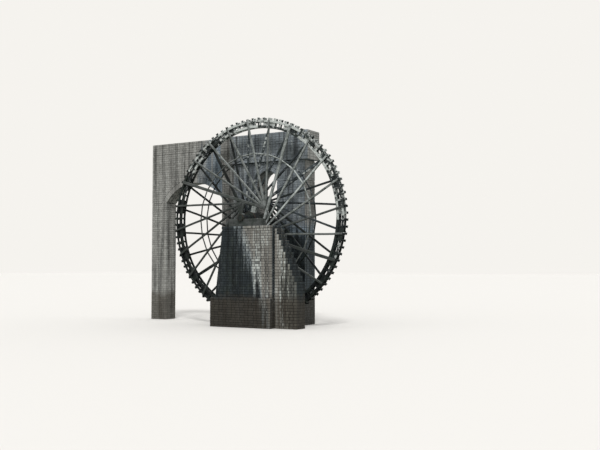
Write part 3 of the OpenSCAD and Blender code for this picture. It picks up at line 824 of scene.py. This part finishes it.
class WHEEL_OT_aqueduct(bpy.types.Operator):
    """Lay the aqueduct bay: end pier, arch, wall and channel walls"""
    bl_idname = "wheel.aqueduct"
    bl_label = "Aqueduct bay"

    def execute(self, context):
        plain_block("aqueduct_end_pier", 41, "aqueduct_limestone")
        # The arch's inner line passes through both springs and the crown
        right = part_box("tower_base")[0].x
        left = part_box("aqueduct_end_pier")[1].x
        (_, _, y0, y1), bottom, top = box_of("aqueduct_arch")
        middle = (right + left) / 2
        crown = min(point.z for point in points_of("aqueduct_arch") if abs(point.x - middle) < 0.2)
        half, rise = (right - left) / 2, crown - bottom
        radius = (half * half + rise * rise) / (2 * rise)
        centre = (middle, crown - radius)
        back = radius + top - crown
        reach = math.asin(half / radius)
        plain_block("aqueduct_wall", 42, "aqueduct_limestone", ring=(*centre, back))
        bm = start_stones()
        # The springers at the end pier come down to its top over their whole depth
        end = math.pi - math.asin((bottom - centre[1]) / back)
        lay_arch(bm, random.Random(43), centre, radius, back, math.pi / 2 - reach, end, y0, y1,
                 AQUEDUCT_WEDGE, bottom, right)
        finish_stones(bm, "aqueduct_arch_stones", ["aqueduct_arch"], "aqueduct_limestone")
        (x0, x1, y0, y1), bottom, top = box_of("aqueduct_channel_walls")
        bm = start_stones()
        rng = random.Random(44)
        wall = wall_width()
        for near, far in ((y0, y0 + wall), (y1 - wall, y1)):
            lay_courses(bm, rng, bottom, top, lambda z: (x0, x1, near, far))
        finish_stones(bm, "aqueduct_channel_stones", ["aqueduct_channel_walls"], "aqueduct_limestone")
        return {"FINISHED"}


class WHEEL_OT_bearings(bpy.types.Operator):
    """Dress the bearing timbers on the pier and in the window"""
    bl_idname = "wheel.bearings"
    bl_label = "Bearings"

    def execute(self, context):
        wear = context.scene.wheel_timbers.wear
        for seed, node in enumerate(("front_bearing_sill", "front_bearing_block", "back_bearing_sill",
                                     "back_bearing_block"), 51):
            dress_timbers(node, seed, "masonry", "silver_oak", wear)
        return {"FINISHED"}


class WHEEL_OT_axle(bpy.types.Operator):
    """Dress the axle, its necks, its chocks and its iron bands"""
    bl_idname = "wheel.axle"
    bl_label = "Axle"

    def execute(self, context):
        wear = context.scene.wheel_timbers.wear
        dress_timbers("axle", 61, "wheel", "black_oak", wear)
        dress_timbers("axle_necks", 62, "wheel", "black_oak", wear)
        dress_timbers("hub_chocks", 63, "wheel", "silver_oak", wear)
        bands = frame["nodes"]["axle_bands"]
        bands.data.materials.clear()
        bands.data.materials.append(finish_of("forged_iron"))
        return {"FINISHED"}


class WHEEL_OT_spokes(bpy.types.Operator):
    """Dress the clasp arms, the fans of spokes and the struts between them"""
    bl_idname = "wheel.spokes"
    bl_label = "Spokes"

    def execute(self, context):
        wear = context.scene.wheel_timbers.spoke_wear
        # The timbers behind take the oak that is painted dark as shade
        for node, seed, finish in (
                ("clasp_arms_front", 67, "silver_oak"), ("clasp_arms_back", 72, "shaded_back_oak"),
                ("spokes_front", 73, "silver_oak"), ("spokes_back", 74, "shaded_back_oak"),
                ("struts_front", 75, "silver_oak"), ("struts_back", 76, "shaded_back_oak")):
            dress_timbers(node, seed, "wheel", finish, wear, step=0.7)
        return {"FINISHED"}


class WHEEL_OT_rim(bpy.types.Operator):
    """Dress the felloes, rim ties, paddles and water boxes"""
    bl_idname = "wheel.rim"
    bl_label = "Rim"

    def execute(self, context):
        sizes = context.scene.wheel_timbers
        for seed, node in enumerate(("outer_ring_front", "outer_ring_back", "inner_ring_front",
                                     "inner_ring_back"), 81):
            dress_timbers(node, seed, "wheel", "limed_oak", sizes.wear, curved=True)
        for seed, node in enumerate(("rim_ties_front", "rim_ties_back"), 85):
            dress_timbers(node, seed, "wheel", "black_oak", sizes.wear)
        dress_timbers("paddles", 87, "wheel", "black_oak", sizes.board_wear, ragged=sizes.ragged)
        for seed, node in enumerate(("box_sides", "box_soles", "box_covers", "box_fronts"), 88):
            dress_timbers(node, seed, "wheel", "black_oak", sizes.board_wear)
        return {"FINISHED"}


class WHEEL_OT_fastenings(bpy.types.Operator):
    """Drive the pegs and bolts that hold spokes and ties to the rings"""
    bl_idname = "wheel.fastenings"
    bl_label = "Fastenings"

    def execute(self, context):
        amount = context.scene.wheel_timbers.bend
        rings = [ring_middle("outer_ring_front"), ring_middle("inner_ring_front")]
        bolts = bmesh.new()
        for node in ("spokes_front", "spokes_back", "clasp_arms_front", "clasp_arms_back"):
            copy = hewn_copy(node)
            for group in timbers_of(copy):
                centre, (long, middle, short) = lie_of(group)
                thick, wide = (middle, short) if abs(middle.y) > abs(short.y) else (short, middle)
                out = thick if thick.y * (centre.y - AXLE.y) > 0 else -thick
                half = max((vert.co - centre) @ out for vert in group)
                arm = centre - AXLE
                flat, way = Vector((arm.x, arm.z)), Vector((long.x, long.z))
                if flat @ way < 0:
                    long, way = -long, -way
                for radius in rings:
                    # How far along the timber its middle line crosses the ring
                    b = flat @ way / way.length_squared
                    c = (flat.length_squared - radius * radius) / way.length_squared
                    along = math.sqrt(b * b - c) - b
                    for off in (-BOLT_OFF, BOLT_OFF):
                        spot = centre + long * (along - off) + wide * off + out * half
                        add_head(bolts, bend(spot, amount), out)
            copy.free()
        finish_piece(bolts, "spoke_bolts", (), "wheel", "forged_iron")
        pegs = bmesh.new()
        for node in ("rim_ties_front", "rim_ties_back"):
            copy = hewn_copy(node)
            for group in timbers_of(copy):
                arm = lie_of(group)[0] - AXLE
                out = Vector((0, math.copysign(1, arm.y), 0))
                way = Vector((arm.x, 0, arm.z)).normalized()
                for radius in rings:
                    add_head(pegs, bend(AXLE + way * radius + out * RIM_FACE, amount), out)
            copy.free()
        finish_piece(pegs, "rim_pegs", (), "wheel", "silver_oak")
        return {"FINISHED"}


class WHEEL_OT_stage(bpy.types.Operator):
    """Set the camera, the floor and the lights"""
    bl_idname = "wheel.stage"
    bl_label = "Stage"

    def execute(self, context):
        scene = context.scene
        stage = scene.wheel_stage
        camera = bpy.data.objects.new("camera", bpy.data.cameras.new("camera"))
        scene.collection.objects.link(camera)
        camera.data.lens = stage.lens
        camera.data.sensor_width = 36.0
        camera.data.clip_end = 1000.0
        camera.location = CAMERA_SPOT
        camera.rotation_euler = CAMERA_WAY.to_track_quat("-Z", "Y").to_euler()
        scene.camera = camera

        bm = bmesh.new()
        bmesh.ops.create_grid(bm, x_segments=1, y_segments=1, size=600)
        mesh = bpy.data.meshes.new("floor")
        bm.to_mesh(mesh)
        bm.free()
        floor = bpy.data.objects.new("floor", mesh)
        scene.collection.objects.link(floor)
        paint = bpy.data.materials.new("floor_paint")
        paint.use_nodes = True
        tree = paint.node_tree
        # The floor looks pale, and throws no more light on the undersides than a river does
        seen = add(tree, "LightPath").outputs["Is Camera Ray"]
        colour = add(tree, "Mix", {0: seen, 6: stage.bounce, 7: stage.floor}, **BLEND).outputs[2]
        shader = tree.nodes["Principled BSDF"]
        tree.links.new(colour, shader.inputs["Base Color"])
        shader.inputs["Roughness"].default_value = 0.95
        mesh.materials.append(paint)

        sun = bpy.data.objects.new("key_light", bpy.data.lights.new("key_light", "SUN"))
        scene.collection.objects.link(sun)
        sun.data.energy = stage.sun
        sun.data.angle = math.radians(12)
        sun.rotation_euler = LIGHT_WAY.to_track_quat("-Z", "Y").to_euler()

        world = bpy.data.worlds.new("studio")
        scene.world = world
        world.use_nodes = True
        tree = world.node_tree
        tree.nodes.clear()
        even = add(tree, "Background", {"Color": grey(1), "Strength": stage.sky})
        plain = add(tree, "Background", {"Color": stage.floor, "Strength": BACKDROP})
        path = add(tree, "LightPath")
        seen = add(tree, "Math", {0: path.outputs["Is Camera Ray"], 1: path.outputs["Is Glossy Ray"]},
                   operation="MAXIMUM").outputs[0]
        both = add(tree, "MixShader", {0: seen, 1: even.outputs[0], 2: plain.outputs[0]})
        add(tree, "OutputWorld", {0: both.outputs[0]})
        scene.view_settings.view_transform = "Standard"
        return {"FINISHED"}


STEPS = [
    WHEEL_OT_stage, WHEEL_OT_pier, WHEEL_OT_buttress, WHEEL_OT_tower, WHEEL_OT_channel, WHEEL_OT_aqueduct,
    WHEEL_OT_bearings, WHEEL_OT_axle, WHEEL_OT_spokes, WHEEL_OT_rim, WHEEL_OT_fastenings]


class WHEEL_PT_sidebar(bpy.types.Panel):
    """Sizes, finishes and the steps that build the wheel"""
    bl_idname = "WHEEL_PT_sidebar"
    bl_label = "Water wheel"
    bl_space_type = "VIEW_3D"
    bl_region_type = "UI"
    bl_category = "Water wheel"

    def draw(self, context):
        for group in (context.scene.wheel_stones, context.scene.wheel_timbers, context.scene.wheel_finishes,
                      context.scene.wheel_stage):
            box = self.layout.box()
            for name in group.bl_rna.properties.keys():
                if name not in ("rna_type", "name"):
                    box.prop(group, name)
        for step in STEPS:
            self.layout.operator(step.bl_idname)


GROUPS = {"wheel_stones": StoneSizes, "wheel_timbers": TimberSizes, "wheel_finishes": Finishes,
          "wheel_stage": StageSettings}
CLASSES = [*GROUPS.values(), *STEPS, WHEEL_PT_sidebar]


def register():
    for kind in CLASSES:
        bpy.utils.register_class(kind)
    for name, kind in GROUPS.items():
        setattr(bpy.types.Scene, name, PointerProperty(type=kind))


def unregister():
    for name in GROUPS:
        delattr(bpy.types.Scene, name)
    for kind in reversed(CLASSES):
        bpy.utils.unregister_class(kind)


def main():
    register()
    for step in STEPS:
        getattr(bpy.ops.wheel, step.bl_idname.split(".")[1])()


if __name__ == "__main__":
    main()
